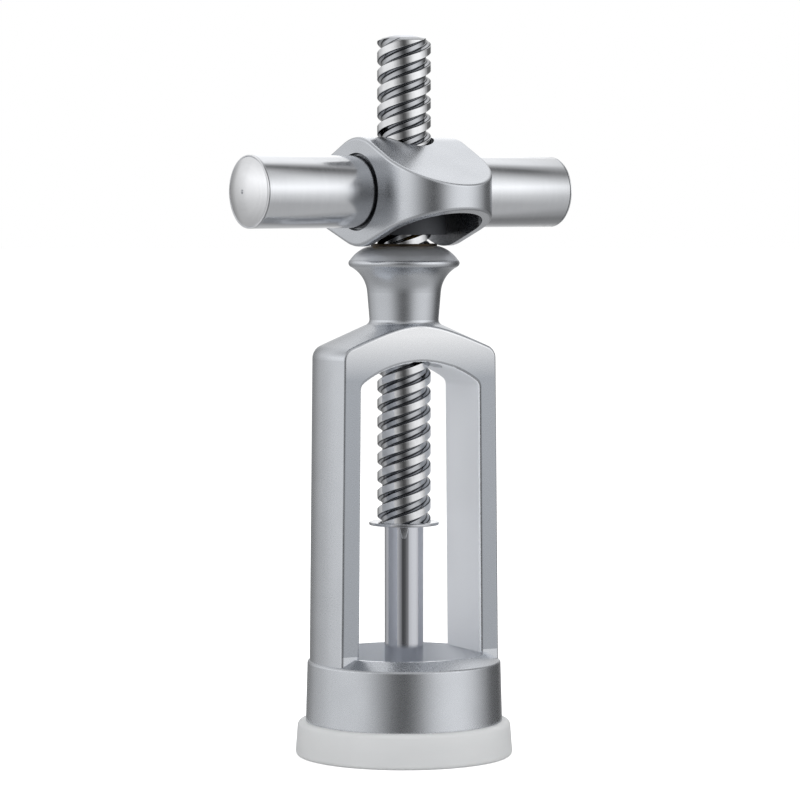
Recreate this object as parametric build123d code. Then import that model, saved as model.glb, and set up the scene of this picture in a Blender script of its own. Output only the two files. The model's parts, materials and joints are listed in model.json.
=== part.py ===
from build123d import *
import math
import os

# A bell corkscrew: a cast bell on a plastic foot, a three-start screw spindle and a T handle.
# Millimetres, +Z up. The origin is on the ground under the spindle, and the windows open along Y.

os.makedirs("parts", exist_ok=True)

# Running and seating clearances, measured on the radius
seat_gap = 0.02
slide_gap = 0.06
bush_running_gap = 0.05
thread_gap = 0.1
cut_overrun = 4.0

# Foot ring: a plastic ring that the bell is pressed on, with the seat for the bottle mouth
foot_height = 8.4
foot_bottom_radius = 26.4
foot_top_radius = 25.6
foot_edge_round = 1.5
mouth_radius = 15.5
mouth_depth = 6.4
mouth_lead_in = 1.0
throat_radius = 13.2
spigot_height = 6.0

# Bell ring
ring_base_radius = 23.7
ring_top_radius = 23.3
ring_bore_radius = 19.0
ring_height = 16.4
ring_ledge_drop = 2.1
ring_inner_edge_width = 0.7
ring_edge_round = 0.6

# Bell pillars, shoulders and the arched window between them
pillar_base_radius = 22.8
pillar_top_radius = 22.0
pillar_root_depth = 4.0
bell_half_depth = 9.2
window_sill_half_width = 16.2
window_spring_half_width = 15.5
window_spring_height = 89.7
window_arch_rise = 5.3
window_corner_round = 2.0
shoulder_edge_rise = 8.2
shoulder_edge_round = 3.4
shoulder_slope_rise = 6.3
stop_seat_radius = 9.2
stop_seat_depth = 0.2
cast_edge_round = 0.8

# Neck and flange, with each height measured from the form below it
neck_radius = 8.25
neck_root_round = 1.2
neck_waist_radius = 8.85
neck_waist_rise = 7.3
flare_middle_radius = 9.9
flare_middle_rise = 3.4
flare_rise = 6.2
flange_radius = 13.35
flange_edge_depth = 0.45
flange_edge_height = 1.7
dome_middle_radius = 11.2
dome_middle_rise = 3.5
neck_top_radius = 8.3
neck_top_rise = 4.9

# Guide bush in the neck
bush_wall = 0.7
bush_flange_radius = 7.95
bush_flange_thickness = 0.6
bush_inset = 1.0

# Screw spindle: three starts, right-hand
thread_starts = 3
thread_lead = 13.1
crest_radius = 6.45
root_radius = 5.25
crest_share = 0.42
root_share = 0.26
flank_overrun_share = 0.8
thread_phase = 68.0
spindle_over_handle = 37.7
spindle_top_rise = 1.7
thread_end_height = 56.3
shank_radius = 4.7
shank_end_height = 21.5
shank_end_chamfer = 0.4

# Stop washer and its bent tab
washer_radius = 8.4
washer_thickness = 0.7
tab_width = 2.4
tab_length = 2.9
tab_angle = -116.0

# Worm, with a head and a stem that seats in the shank
worm_wire_radius = 1.2
worm_coil_radius = 3.1
worm_pitch = 7.2
worm_end_height = 1.7
worm_tip_length = 3.0
worm_tip_radius = 0.15
worm_head_radius = 4.6
worm_head_thickness = 2.8
worm_stem_radius = 2.2
worm_stem_length = 9.0

# Handle hub: a barrel that runs out into two flattened noses, cored from below
handle_over_neck = 13.0
handle_yaw = 9.0
hub_half_width = 13.9
hub_barrel_radius = 13.0
hub_reach = 26.0
hub_nose_top = 1.6
hub_nose_bottom = 4.1
hub_wall = 2.3
hub_boss_radius = 10.2
hub_boss_bottom = 10.2
hub_top_hole_radius = 7.2
hub_side_boss_radius = 5.0
hub_edge_round = 0.8
grip_recess_radius = 9.24
grip_recess_depth = 1.0

# Threaded insert in the hub
nut_outer_radius = 8.2
nut_length = 14.0

# Handle bars, tie rods and end caps
grip_radius = 8.6
grip_wall = 1.4
grip_end = 43.7
tie_rod_radius = 2.5
tie_rod_inner_end = 8.5
tie_rod_chamfer = 0.4
tie_rod_cap_cover = 1.2
cap_rim_thickness = 1.1
cap_bevel = 0.3
cap_dome_rise = 0.9
cap_spigot_length = 5.0
cap_mark_radius = 0.4
cap_mark_depth = 0.2

# Sizes that follow from the ones above
ring_top_height = foot_height + ring_height
window_peak_height = window_spring_height + window_arch_rise
stop_seat_height = window_peak_height + stop_seat_depth
shoulder_edge_height = window_spring_height + shoulder_edge_rise
shoulder_top_height = shoulder_edge_height + shoulder_slope_rise
neck_waist_height = shoulder_top_height + neck_waist_rise
flare_middle_height = neck_waist_height + flare_middle_rise
flare_end_height = neck_waist_height + flare_rise
dome_middle_height = flare_end_height + dome_middle_rise
neck_top_height = flare_end_height + neck_top_rise
handle_height = neck_top_height + handle_over_neck
spindle_top_height = handle_height + spindle_over_handle
bush_bore_radius = crest_radius + slide_gap
bush_outer_radius = bush_bore_radius + bush_wall
neck_bore_radius = bush_outer_radius + bush_running_gap
washer_bottom_height = thread_end_height - washer_thickness
full_turn = 360.0


def polar(radius, degrees, height=0.0):
    """Point at a radius and an angle round the spindle."""
    turn = math.radians(degrees)
    return (radius * math.cos(turn), radius * math.sin(turn), height)


def rod(radius, bottom, top):
    """Upright cylinder on the spindle axis."""
    body = Cylinder(radius, top - bottom, align=(Align.CENTER, Align.CENTER, Align.MIN))
    return Pos(0, 0, bottom) * body


def side_rod(radius, inner, outer):
    """Cylinder along the handle axis, on its +X side."""
    body = Cylinder(radius, outer - inner, align=(Align.CENTER, Align.CENTER, Align.MIN))
    return Pos(inner, 0, handle_height) * (Rot(0, 90, 0) * body)


def turned(outline):
    """Solid of revolution about the spindle axis from an outline in the XZ plane."""
    return revolve(make_face(outline), Axis.Z)


def make_foot_ring():
    """Plastic foot: outer ring, spigot for the bell and stepped bore for the bottle mouth."""
    spigot_radius = ring_bore_radius - seat_gap
    spigot_top = foot_height + spigot_height
    outline = Polyline(
        (mouth_radius, 0, 0),
        (foot_bottom_radius, 0, 0),
        (foot_top_radius, 0, foot_height),
        (spigot_radius, 0, foot_height),
        (spigot_radius, 0, spigot_top),
        (throat_radius, 0, spigot_top),
        (throat_radius, 0, mouth_depth),
        (mouth_radius, 0, mouth_depth),
        close=True,
    )
    ring = turned(outline)
    circles = ring.edges().filter_by(GeomType.CIRCLE)
    ring = fillet(circles.filter_by(lambda edge: edge.radius > ring_base_radius), foot_edge_round)
    mouth = ring.edges().filter_by(GeomType.CIRCLE).group_by(Axis.Z)[0].sort_by(SortBy.RADIUS)[0]
    return chamfer(mouth, mouth_lead_in)


def make_ring():
    """Lower ring of the bell, solid inside, with its sloping ledge."""
    ledge_bottom = ring_top_height - ring_ledge_drop
    outline = Polyline(
        (0, 0, foot_height),
        (ring_base_radius, 0, foot_height),
        (ring_top_radius, 0, ledge_bottom),
        (ring_bore_radius + ring_inner_edge_width, 0, ring_top_height),
        (0, 0, ring_top_height),
        close=True,
    )
    ring = turned(outline)
    ledge_edge = ring.edges().filter_by(GeomType.CIRCLE).sort_by(Axis.Z)[1:3]
    return fillet(ledge_edge, ring_edge_round)


def circles_at(shape, height):
    """Round edges of a turned form that lie at one height."""
    circles = shape.edges().filter_by(GeomType.CIRCLE)
    return circles.filter_by(lambda edge: abs(edge.arc_center.Z - height) < seat_gap)


def make_cage():
    """Pillars, shoulders, neck and flange as one turned form, still without its window."""
    root_height = ring_top_height - pillar_root_depth
    flare_radius = flange_radius - flange_edge_depth
    waist = (neck_waist_radius, 0, neck_waist_height)
    flare_middle = (flare_middle_radius, 0, flare_middle_height)
    flare_end = (flare_radius, 0, flare_end_height)
    edge_middle = (flange_radius, 0, flare_end_height + flange_edge_height / 2)
    dome_start = (flare_radius, 0, flare_end_height + flange_edge_height)
    dome_middle = (dome_middle_radius, 0, dome_middle_height)
    dome_end = (neck_top_radius, 0, neck_top_height)
    outline = (
        Polyline(
            (0, 0, root_height),
            (pillar_base_radius, 0, root_height),
            (pillar_top_radius, 0, shoulder_edge_height),
            (neck_radius, 0, shoulder_top_height),
            waist,
        )
        + ThreePointArc(waist, flare_middle, flare_end)
        + ThreePointArc(flare_end, edge_middle, dome_start)
        + ThreePointArc(dome_start, dome_middle, dome_end)
        + Polyline(dome_end, (0, 0, neck_top_height), (0, 0, root_height))
    )
    cage = turned(outline)
    cage = fillet(circles_at(cage, shoulder_edge_height), shoulder_edge_round)
    return fillet(circles_at(cage, shoulder_top_height), neck_root_round)


def make_window():
    """Cutter for the arched window, right through along Y."""
    left = (-window_spring_half_width, 0, window_spring_height)
    right = (window_spring_half_width, 0, window_spring_height)
    outline = ThreePointArc(left, (0, 0, window_peak_height), right) + Polyline(
        right, (window_sill_half_width, 0, foot_height), (-window_sill_half_width, 0, foot_height), left
    )
    face = make_face(outline)
    corners = face.vertices().group_by(Axis.Z)[-1]
    face = fillet(corners, window_corner_round)
    return extrude(face, amount=ring_base_radius, both=True)


def make_flat():
    """Cutter for one flat face of the bell, square to Y, from the pillar roots up to the neck."""
    bottom = ring_top_height - pillar_root_depth - cut_overrun
    align = (Align.CENTER, Align.MIN, Align.MIN)
    block = Box(2 * ring_base_radius, ring_base_radius, neck_waist_height - bottom, align=align)
    return Pos(0, bell_half_depth, bottom) * block


def on_flat(edge):
    """True for an edge that lies in one of the bell's flat faces, above the pillar roots."""
    in_face = abs(abs(edge.center().Y) - bell_half_depth) < seat_gap
    return in_face and edge.bounding_box().max.Z > ring_top_height


def make_bell_frame():
    """Cast bell: ring, pillars, shoulders, neck and flange."""
    cage = make_cage()
    for side in (0, 180):
        cage -= Rot(0, 0, side) * make_flat()
    cage -= make_window()
    cage = fillet(cage.edges().filter_by(on_flat), cast_edge_round)
    bell = make_ring() + cage
    bell -= rod(ring_bore_radius, foot_height - cut_overrun, ring_top_height)
    bell -= rod(stop_seat_radius, stop_seat_height - cut_overrun, stop_seat_height)
    bell -= rod(neck_bore_radius, stop_seat_height - cut_overrun, neck_top_height + cut_overrun)
    return bell


def make_neck_bush():
    """Guide bush: a thin sleeve in the neck with a flange on its top face."""
    sleeve = rod(bush_outer_radius, stop_seat_height + bush_inset, neck_top_height)
    flange = rod(bush_flange_radius, neck_top_height, neck_top_height + bush_flange_thickness)
    return sleeve + flange - rod(bush_bore_radius, stop_seat_height, neck_top_height + cut_overrun)


def flank(root, crest, root_angle, crest_angle):
    """Ends of one flank's line, run past the root and the crest by the overrun share."""
    foot = Vector(*polar(root, root_angle))
    tip = Vector(*polar(crest, crest_angle))
    overrun = (tip - foot) * flank_overrun_share
    return foot - overrun, tip + overrun


def thread_section(root, crest):
    """Star through the three-start thread, whose straight flanks run past the root and the crest."""
    start_step = full_turn / thread_starts
    flank_step = start_step * (1 - crest_share - root_share) / 2
    points = []
    for index in range(thread_starts):
        crest_end = thread_phase + start_step * (index + crest_share)
        root_start = crest_end + flank_step
        root_end = root_start + start_step * root_share
        falling = flank(root, crest, root_start, crest_end)
        rising = flank(root, crest, root_end, root_end + flank_step)
        points += [falling[1], falling[0], rising[0], rising[1]]
    return make_face(Polyline(*points, close=True))


def make_thread(root, crest, bottom, top):
    """Length of three-start right-hand thread between two heights, in step with the spindle's.

    The star rises with one turn in a lead, is turned down to the crest and filled up to the root.
    """
    height = top - bottom
    start_angle = full_turn * (bottom - thread_end_height) / thread_lead
    section = Pos(0, 0, bottom) * (Rot(0, 0, start_angle) * thread_section(root, crest))
    star = Solid.extrude_linear_with_rotation(
        section.face(), (0, 0, bottom), (0, 0, height), full_turn * height / thread_lead
    )
    return (star & rod(crest, bottom - cut_overrun, top + cut_overrun)) + rod(root, bottom, top)


def make_spindle():
    """Screw spindle with a rounded top and a smooth shank that carries the worm."""
    dome_radius = (crest_radius**2 + spindle_top_rise**2) / (2 * spindle_top_rise)
    dome = Pos(0, 0, spindle_top_height - dome_radius) * Sphere(dome_radius)
    outer = crest_radius + cut_overrun
    trim = rod(outer, spindle_top_height - 2 * spindle_top_rise, spindle_top_height + cut_overrun) - dome
    thread = make_thread(root_radius, crest_radius, thread_end_height, spindle_top_height)
    shank = rod(shank_radius, shank_end_height, thread_end_height)
    shank = chamfer(shank.edges().group_by(Axis.Z)[0], shank_end_chamfer)
    socket_top = shank_end_height + worm_stem_length
    socket = rod(worm_stem_radius + seat_gap, shank_end_height - cut_overrun, socket_top)
    return (thread - trim) + shank - socket


def make_stop_washer():
    """Thin washer under the thread, with one tab bent down along the shank."""
    bore = shank_radius + seat_gap
    disc = rod(washer_radius, washer_bottom_height, thread_end_height)
    tab = Box(washer_thickness, tab_width, tab_length, align=(Align.MIN, Align.CENTER, Align.MAX))
    tab = Rot(0, 0, tab_angle) * (Pos(bore, 0, washer_bottom_height) * tab)
    tab_bottom = washer_bottom_height - tab_length
    return disc + tab - rod(bore, tab_bottom - cut_overrun, thread_end_height + cut_overrun)


def make_worm():
    """Right-hand worm with a pointed tip, a flat head and a stem."""
    head_bottom = shank_end_height - worm_head_thickness
    coil_height = head_bottom + worm_head_thickness / 2 - worm_end_height
    path = Helix(worm_pitch, coil_height, worm_coil_radius)
    wire_section = Plane(path @ 0, z_dir=path % 0) * Circle(worm_wire_radius)
    coil = sweep(wire_section, path=path, is_frenet=True)
    tip = Cone(
        worm_wire_radius, worm_tip_radius, worm_tip_length, align=(Align.CENTER, Align.CENTER, Align.MIN)
    )
    tip = Plane(path @ 0, z_dir=-(path % 0)) * tip
    coil = Pos(0, 0, worm_end_height) * (coil + tip)
    head = rod(worm_head_radius, head_bottom, shank_end_height)
    stem = rod(worm_stem_radius, head_bottom, shank_end_height + worm_stem_length)
    return coil + head + stem


def barrel_tangent(reach, height, radius):
    """Angle at which a straight slope from the nose corner touches the barrel."""
    return math.atan2(height, reach) + math.acos(radius / math.hypot(reach, height))


def make_hub_form(wall):
    """Hub form in the frame of its own middle, drawn in by a wall: barrel, slopes and noses.

    The side outline is crossed with the rounded plan. With a wall, the form is the core of the
    casting, which is open below.
    """
    reach = hub_reach - wall
    barrel = hub_barrel_radius - wall
    half_width = hub_half_width - wall
    roof_angle = barrel_tangent(hub_reach, hub_nose_top, hub_barrel_radius)
    keel_angle = barrel_tangent(hub_reach, hub_nose_bottom, hub_barrel_radius)
    roof_point = (0, barrel * math.cos(roof_angle), barrel * math.sin(roof_angle))
    roof_mirror = (0, -roof_point[1], roof_point[2])
    nose_top = (barrel - reach * math.cos(roof_angle)) / math.sin(roof_angle)
    roof = ThreePointArc(roof_point, (0, 0, barrel), roof_mirror)
    keel_point = (0, barrel * math.cos(keel_angle), -barrel * math.sin(keel_angle))
    keel_mirror = (0, -keel_point[1], keel_point[2])
    if wall:
        base = -hub_barrel_radius - wall
        near_side = Polyline(roof_mirror, (0, -reach, nose_top), (0, -reach, base))
        far_side = Polyline((0, -reach, base), (0, reach, base), (0, reach, nose_top), roof_point)
        outline = roof + near_side + far_side
    else:
        keel = ThreePointArc(keel_mirror, (0, 0, -barrel), keel_point)
        near_nose = Polyline(roof_mirror, (0, -reach, nose_top), (0, -reach, -hub_nose_bottom), keel_mirror)
        far_nose = Polyline(keel_point, (0, reach, -hub_nose_bottom), (0, reach, nose_top), roof_point)
        outline = roof + near_nose + keel + far_nose
    long_way = extrude(make_face(outline), amount=half_width, both=True)
    plan = Rot(0, 0, 90) * SlotOverall(2 * reach, 2 * half_width)
    upright = extrude(plan, amount=2 * hub_barrel_radius, both=True)
    return long_way & upright


def make_handle_hub():
    """Cored hub casting with a central boss, two side bosses and a recess for each bar."""
    outer = make_hub_form(0)
    outer = fillet(outer.edges().filter_by(lambda edge: edge.length > hub_wall), hub_edge_round)
    core = make_hub_form(hub_wall)
    boss = Pos(0, 0, -hub_boss_bottom) * Cylinder(
        hub_boss_radius,
        hub_boss_bottom + hub_barrel_radius,
        align=(Align.CENTER, Align.CENTER, Align.MIN),
    )
    side_boss = Rot(0, 90, 0) * Cylinder(hub_side_boss_radius, 2 * hub_half_width)
    hub = Pos(0, 0, handle_height) * (outer - (core - boss - side_boss))
    nut_bottom = handle_height - hub_boss_bottom
    nut_top = nut_bottom + nut_length
    hub -= rod(nut_outer_radius + seat_gap, nut_bottom - cut_overrun, nut_top)
    hub -= rod(hub_top_hole_radius, nut_bottom, handle_height + 2 * hub_barrel_radius)
    recess_bottom = hub_half_width - grip_recess_depth
    recess = side_rod(grip_recess_radius, recess_bottom, hub_half_width + cut_overrun)
    hole = side_rod(tie_rod_radius + seat_gap, nut_outer_radius, recess_bottom)
    for side in (0, 180):
        hub -= Rot(0, 0, side) * (recess + hole)
    return hub


def make_nut_insert():
    """Threaded insert: the spindle's thread with a running gap, cut through a plain sleeve."""
    bottom = handle_height - hub_boss_bottom
    top = bottom + nut_length
    root = root_radius + thread_gap
    crest = crest_radius + thread_gap
    thread = make_thread(root, crest, bottom - cut_overrun, top + cut_overrun)
    return rod(nut_outer_radius, bottom, top) - thread


def make_grip():
    """Tubular handle bar on the +X side."""
    inner_end = hub_half_width - grip_recess_depth
    bore = side_rod(grip_radius - grip_wall, inner_end - cut_overrun, grip_end + cut_overrun)
    return side_rod(grip_radius, inner_end, grip_end) - bore


def make_tie_rod():
    """Tie rod that clamps the bar between the hub and its cap."""
    body = side_rod(tie_rod_radius, tie_rod_inner_end, grip_end - tie_rod_cap_cover)
    return chamfer(body.edges().filter_by(GeomType.CIRCLE), tie_rod_chamfer)


def make_end_cap():
    """Domed end cap with its spigot in the bar and a small centre mark, drawn along the handle."""
    spigot_radius = grip_radius - grip_wall - seat_gap
    socket_radius = tie_rod_radius + seat_gap
    spigot_end = grip_end - cap_spigot_length
    socket_end = grip_end - tie_rod_cap_cover
    rim_end = grip_end + cap_rim_thickness
    crown = rim_end + cap_dome_rise
    dome_foot_radius = grip_radius - cap_bevel
    dome_radius = (dome_foot_radius**2 + cap_dome_rise**2) / (2 * cap_dome_rise)
    dome_middle = crown - dome_radius + math.sqrt(dome_radius**2 - (dome_foot_radius / 2) ** 2)
    mark_edge = crown - dome_radius + math.sqrt(dome_radius**2 - cap_mark_radius**2)
    dome_points = (
        (rim_end, 0, dome_foot_radius),
        (dome_middle, 0, dome_foot_radius / 2),
        (mark_edge, 0, cap_mark_radius),
    )
    dome = ThreePointArc(*dome_points)
    body = Polyline(
        (mark_edge, 0, cap_mark_radius),
        (crown - cap_mark_depth, 0, cap_mark_radius),
        (crown - cap_mark_depth, 0, 0),
        (socket_end, 0, 0),
        (socket_end, 0, socket_radius),
        (spigot_end, 0, socket_radius),
        (spigot_end, 0, spigot_radius),
        (grip_end, 0, spigot_radius),
        (grip_end, 0, grip_radius),
        (rim_end - cap_bevel, 0, grip_radius),
        (rim_end, 0, dome_foot_radius),
    )
    return Pos(0, 0, handle_height) * revolve(make_face(dome + body), Axis.X)


upright_parts = {
    "bell_frame": make_bell_frame(),
    "foot_ring": make_foot_ring(),
    "neck_bush": make_neck_bush(),
    "spindle": make_spindle(),
    "stop_washer": make_stop_washer(),
    "worm": make_worm(),
}
handle_parts = {"handle_hub": make_handle_hub(), "nut_insert": make_nut_insert()}
for side, turn in (("left", 180), ("right", 0)):
    handle_parts[side + "_grip"] = Rot(0, 0, turn) * make_grip()
    handle_parts[side + "_tie_rod"] = Rot(0, 0, turn) * make_tie_rod()
    handle_parts[side + "_end_cap"] = Rot(0, 0, turn) * make_end_cap()

for name, shape in upright_parts.items():
    export_step(shape, f"parts/{name}.step")
for name, shape in handle_parts.items():
    placed = shape if name == "nut_insert" else Rot(0, 0, handle_yaw) * shape
    export_step(placed, f"parts/{name}.step")
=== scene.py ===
"""Bell corkscrew: finishes, detail meshes and a plain studio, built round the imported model."""

import json
import math

import bmesh
import bpy
from mathutils import Matrix, Vector


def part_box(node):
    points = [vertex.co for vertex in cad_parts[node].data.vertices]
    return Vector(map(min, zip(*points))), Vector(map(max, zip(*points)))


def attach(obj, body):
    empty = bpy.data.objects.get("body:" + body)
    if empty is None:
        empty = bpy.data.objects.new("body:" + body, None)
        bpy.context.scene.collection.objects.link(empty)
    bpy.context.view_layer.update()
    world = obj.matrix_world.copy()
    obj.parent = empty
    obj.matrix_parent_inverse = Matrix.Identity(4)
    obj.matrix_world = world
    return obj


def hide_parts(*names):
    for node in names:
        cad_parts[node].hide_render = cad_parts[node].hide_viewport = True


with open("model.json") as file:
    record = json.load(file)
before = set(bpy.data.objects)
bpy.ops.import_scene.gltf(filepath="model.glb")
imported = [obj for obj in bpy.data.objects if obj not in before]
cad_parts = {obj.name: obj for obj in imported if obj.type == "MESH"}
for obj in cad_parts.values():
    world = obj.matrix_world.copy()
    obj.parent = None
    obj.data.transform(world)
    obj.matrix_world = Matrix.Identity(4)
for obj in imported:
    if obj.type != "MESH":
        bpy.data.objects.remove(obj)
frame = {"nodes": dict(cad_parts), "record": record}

bl_info = {
    "name": "Bell Corkscrew",
    "version": (1, 0, 0),
    "blender": (4, 5, 0),
    "location": "View3D > Sidebar > Corkscrew",
    "description": "Builds the finishes, detail meshes and studio of a bell corkscrew",
    "category": "Object",
}

MM = 0.001
FULL_TURN = 2 * math.pi

# Fineness of the meshes
TURNED_STEPS = 128
THREAD_STEPS_PER_TURN = 72
WORM_STEPS_PER_TURN = 48
WIRE_SIDES = 24
FLOOR_SIDES = 64
CREST_STEPS = 5
ROOT_STEPS = 3
CAP_DOME_STEPS = 14
ROUND_SEGMENTS = 3
FOOT_ROUND_SEGMENTS = 5
CORNER_ANGLE = math.radians(28)
SMOOTH_ANGLE = math.radians(36)
MERGE_DISTANCE = 0.0001 * MM

# Each ring of the spindle's dome, as a share of the ring outside it
DOME_RING_SHARES = (0.96, 0.8, 0.7, 0.6, 0.4)
# The worm's ground point, as (share of its length, share of the wire's radius that is left)
TIP_RUNS = ((0.3, 0.84), (0.3, 0.55), (0.25, 0.28), (0.15, 0.1))

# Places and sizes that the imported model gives
RECORD = frame["record"]
BODY_OF = {node: body for body, nodes in RECORD["behaviour"]["bodies"].items() for node in nodes}
SCREW_LOW, SCREW_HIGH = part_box("spindle")
WASHER_LOW, WASHER_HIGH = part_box("stop_washer")
FOOT_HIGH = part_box("foot_ring")[1]
GRIP_LOW, GRIP_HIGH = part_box("right_grip")
CREST_RADIUS = SCREW_HIGH.x
THREAD_END = WASHER_HIGH.z
THREAD_LEAD = FULL_TURN / abs(RECORD["behaviour"]["couplings"][0]["ratio"])
FOOT_RADIUS = FOOT_HIGH.x
BAR_RADIUS = (GRIP_HIGH.z - GRIP_LOW.z) / 2
HANDLE_HEIGHT = (GRIP_LOW.z + GRIP_HIGH.z) / 2

# Size of the grains of each finish, in millimetres along X, Y and Z
CASTING_CLOUDS = (9.0, 9.0, 9.0)
CASTING_PORES = (0.3, 0.3, 0.3)
BAR_LINES = (0.22, 6.0, 6.0)
BAR_CLOUDS = (14.0, 7.0, 7.0)
SCREW_STAINS = (1.6, 1.6, 1.6)
STEEL_LINES = (0.5, 0.5, 0.12)
BRASS_RINGS = (4.0, 4.0, 0.15)
BRONZE_PORES = (0.25, 0.25, 0.25)
FOOT_FROST = (0.35, 0.35, 0.35)
FOOT_FLOW = (9.0, 9.0, 4.0)
FINE_DETAIL = 3.0
PLAIN_DETAIL = 2.0

# Relief of each finish, as (depth in millimetres, strength)
CASTING_RELIEF = (0.02, 0.015)
BAR_RELIEF = (0.01, 0.04)
SCREW_RELIEF = (0.004, 0.12)
STEEL_RELIEF = (0.01, 0.05)
BRASS_RELIEF = (0.02, 0.1)
BRONZE_RELIEF = (0.02, 0.2)
FOOT_RELIEF = (0.04, 0.12)

# Roughness at the low and the high end of a grain, or what its ends take off and add
STEEL_ROUGHNESS = (0.16, 0.26)
BRASS_ROUGHNESS = (0.2, 0.34)
BRONZE_ROUGHNESS = (0.3, 0.5)
FOOT_ROUGHNESS = (0.4, 0.52)
CASTING_SWING = (-0.03, 0.04)
BAR_SWING = (-0.02, 0.05)
# Roughness that is added in a hollow, on the die's skin and at the thread's root
HOLLOW_ROUGHNESS = 0.3
SKIN_ROUGHNESS = 0.25
ROOT_ROUGHNESS = 0.1

# Levels between which a pattern, an openness or a facing goes from nothing to the whole
GRAIN_LEVELS = (0.3, 0.7)
LINE_CLOUD_LEVELS = (0.1, 0.4)
STAIN_LEVELS = (0.35, 0.75)
OPEN_LEVELS = (0.15, 0.5)
FACING_LEVELS = (0.9, 0.98)

# How far round a point a casting looks for the walls of a hollow
BELL_REACH = 1.0 * MM
HUB_REACH = 12.0 * MM
REACH_SAMPLES = 6

# Rolling lines in one lead of the thread, 0.22 mm apart and coarser than the real ones so they show
ROLLING_LINES = 60.0
STAIN_SHARE = 0.12
# Tones from the thread's root to its crest: the roots and flanks are darkened and the corners get dark
# lines, all painted shade, and the crest is rubbed bright
THREAD_TONES = (
    (0.04, "screw_root"),
    (0.12, "screw_oil_and_painted_shade"),
    (0.22, "screw_oil_and_painted_shade"),
    (0.34, "screw_root"),
    (0.64, "screw_root"),
    (0.76, "screw_oil_and_painted_shade"),
    (0.88, "screw_oil_and_painted_shade"),
    (0.96, "screw_crest"),
)

# Plastic of the foot
PLASTIC_IOR = 1.49
PLASTIC_TRANSMISSION = 0.12
PLASTIC_SUBSURFACE = 0.6
PLASTIC_DEPTH = 1.5 * MM

# Soft panels and grey flags round the object, as (azimuth from the camera in degrees, brightness as a
# share of the brightest panel). The background behind the object stays white in reflections too.
LEVEL_PANEL_SHARES = (
    (-180, 0.65), (-171, 0.22), (-160, 0.13), (-148, 0.20), (-128, 0.36), (-112, 0.42),
    (-100, 0.52), (-84, 0.55), (-60, 0.56), (-48, 0.53), (-38, 0.42), (-24, 0.24),
    (-12, 0.10), (-2, 0.05), (6, 0.07), (16, 0.18), (28, 0.40), (38, 0.56),
    (52, 0.64), (70, 0.65), (82, 0.58), (94, 0.44), (108, 0.26), (124, 0.08),
    (150, 0.07), (166, 0.25), (180, 0.65),
)
UPPER_PANEL_SHARES = (
    (-180, 0.86), (-140, 0.6), (-90, 0.34), (-40, 0.4), (0, 0.4), (40, 0.45),
    (70, 0.5), (85, 0.3), (97, 0.12), (107, 0.08), (122, 0.34), (145, 0.78),
    (165, 0.86), (180, 0.86),
)
LOWER_PANEL_SHARES = (
    (-180, 0.4), (-150, 0.3), (-110, 0.3), (-60, 0.34), (0, 0.24), (60, 0.36),
    (95, 0.38), (120, 0.25), (141, 0.16), (160, 0.2), (180, 0.4),
)
# Where the level panels brighten, and where they give way to the upper and the lower ones, as heights
# on the unit sphere at these elevations in degrees
BRIGHTENING, RISING, FALLING = (
    [math.sin(math.radians(elevation)) for elevation in span] for span in ((-8, 13), (12, 50), (-6, -32))
)
LEVEL_GAIN = 1.6

# Soft boxes, as (place, width, height, watts)
SOFT_BOXES = {
    "key_box": ((-0.55, -0.75, 0.55), 0.5, 0.8, 3.2),
    "fill_box": ((0.85, -0.35, 0.35), 0.4, 0.8, 1.8),
    "top_box": ((0.0, 0.1, 0.9), 0.7, 0.7, 2.4),
}
FLOOR_RADIUS = 8.0
SENSOR_WIDTH = 36.0


def linear(hex_colour):
    """Linear colour from an sRGB hex value such as B8BABE."""
    channels = [int(hex_colour[i : i + 2], 16) / 255 for i in (0, 2, 4)]
    curve = [c / 12.92 if c <= 0.04045 else ((c + 0.055) / 1.055) ** 2.4 for c in channels]
    return (*curve, 1.0)


WHITE = linear("FFFFFF")


def length(name, description, size_mm):
    """Length property whose default is given in millimetres."""
    return bpy.props.FloatProperty(
        name=name, description=description, default=size_mm * MM, unit="LENGTH", precision=5
    )


def angle(name, description, degrees):
    """Angle property whose default is given in degrees."""
    return bpy.props.FloatProperty(
        name=name, description=description, default=math.radians(degrees), subtype="ANGLE"
    )


def colour(name, description, hex_colour):
    """Colour property whose default is an sRGB hex value."""
    return bpy.props.FloatVectorProperty(
        name=name, description=description, default=linear(hex_colour), size=4, subtype="COLOR"
    )


def share(name, description, default):
    """Plain number between nothing and the whole."""
    return bpy.props.FloatProperty(name=name, description=description, default=default, subtype="FACTOR")


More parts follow.
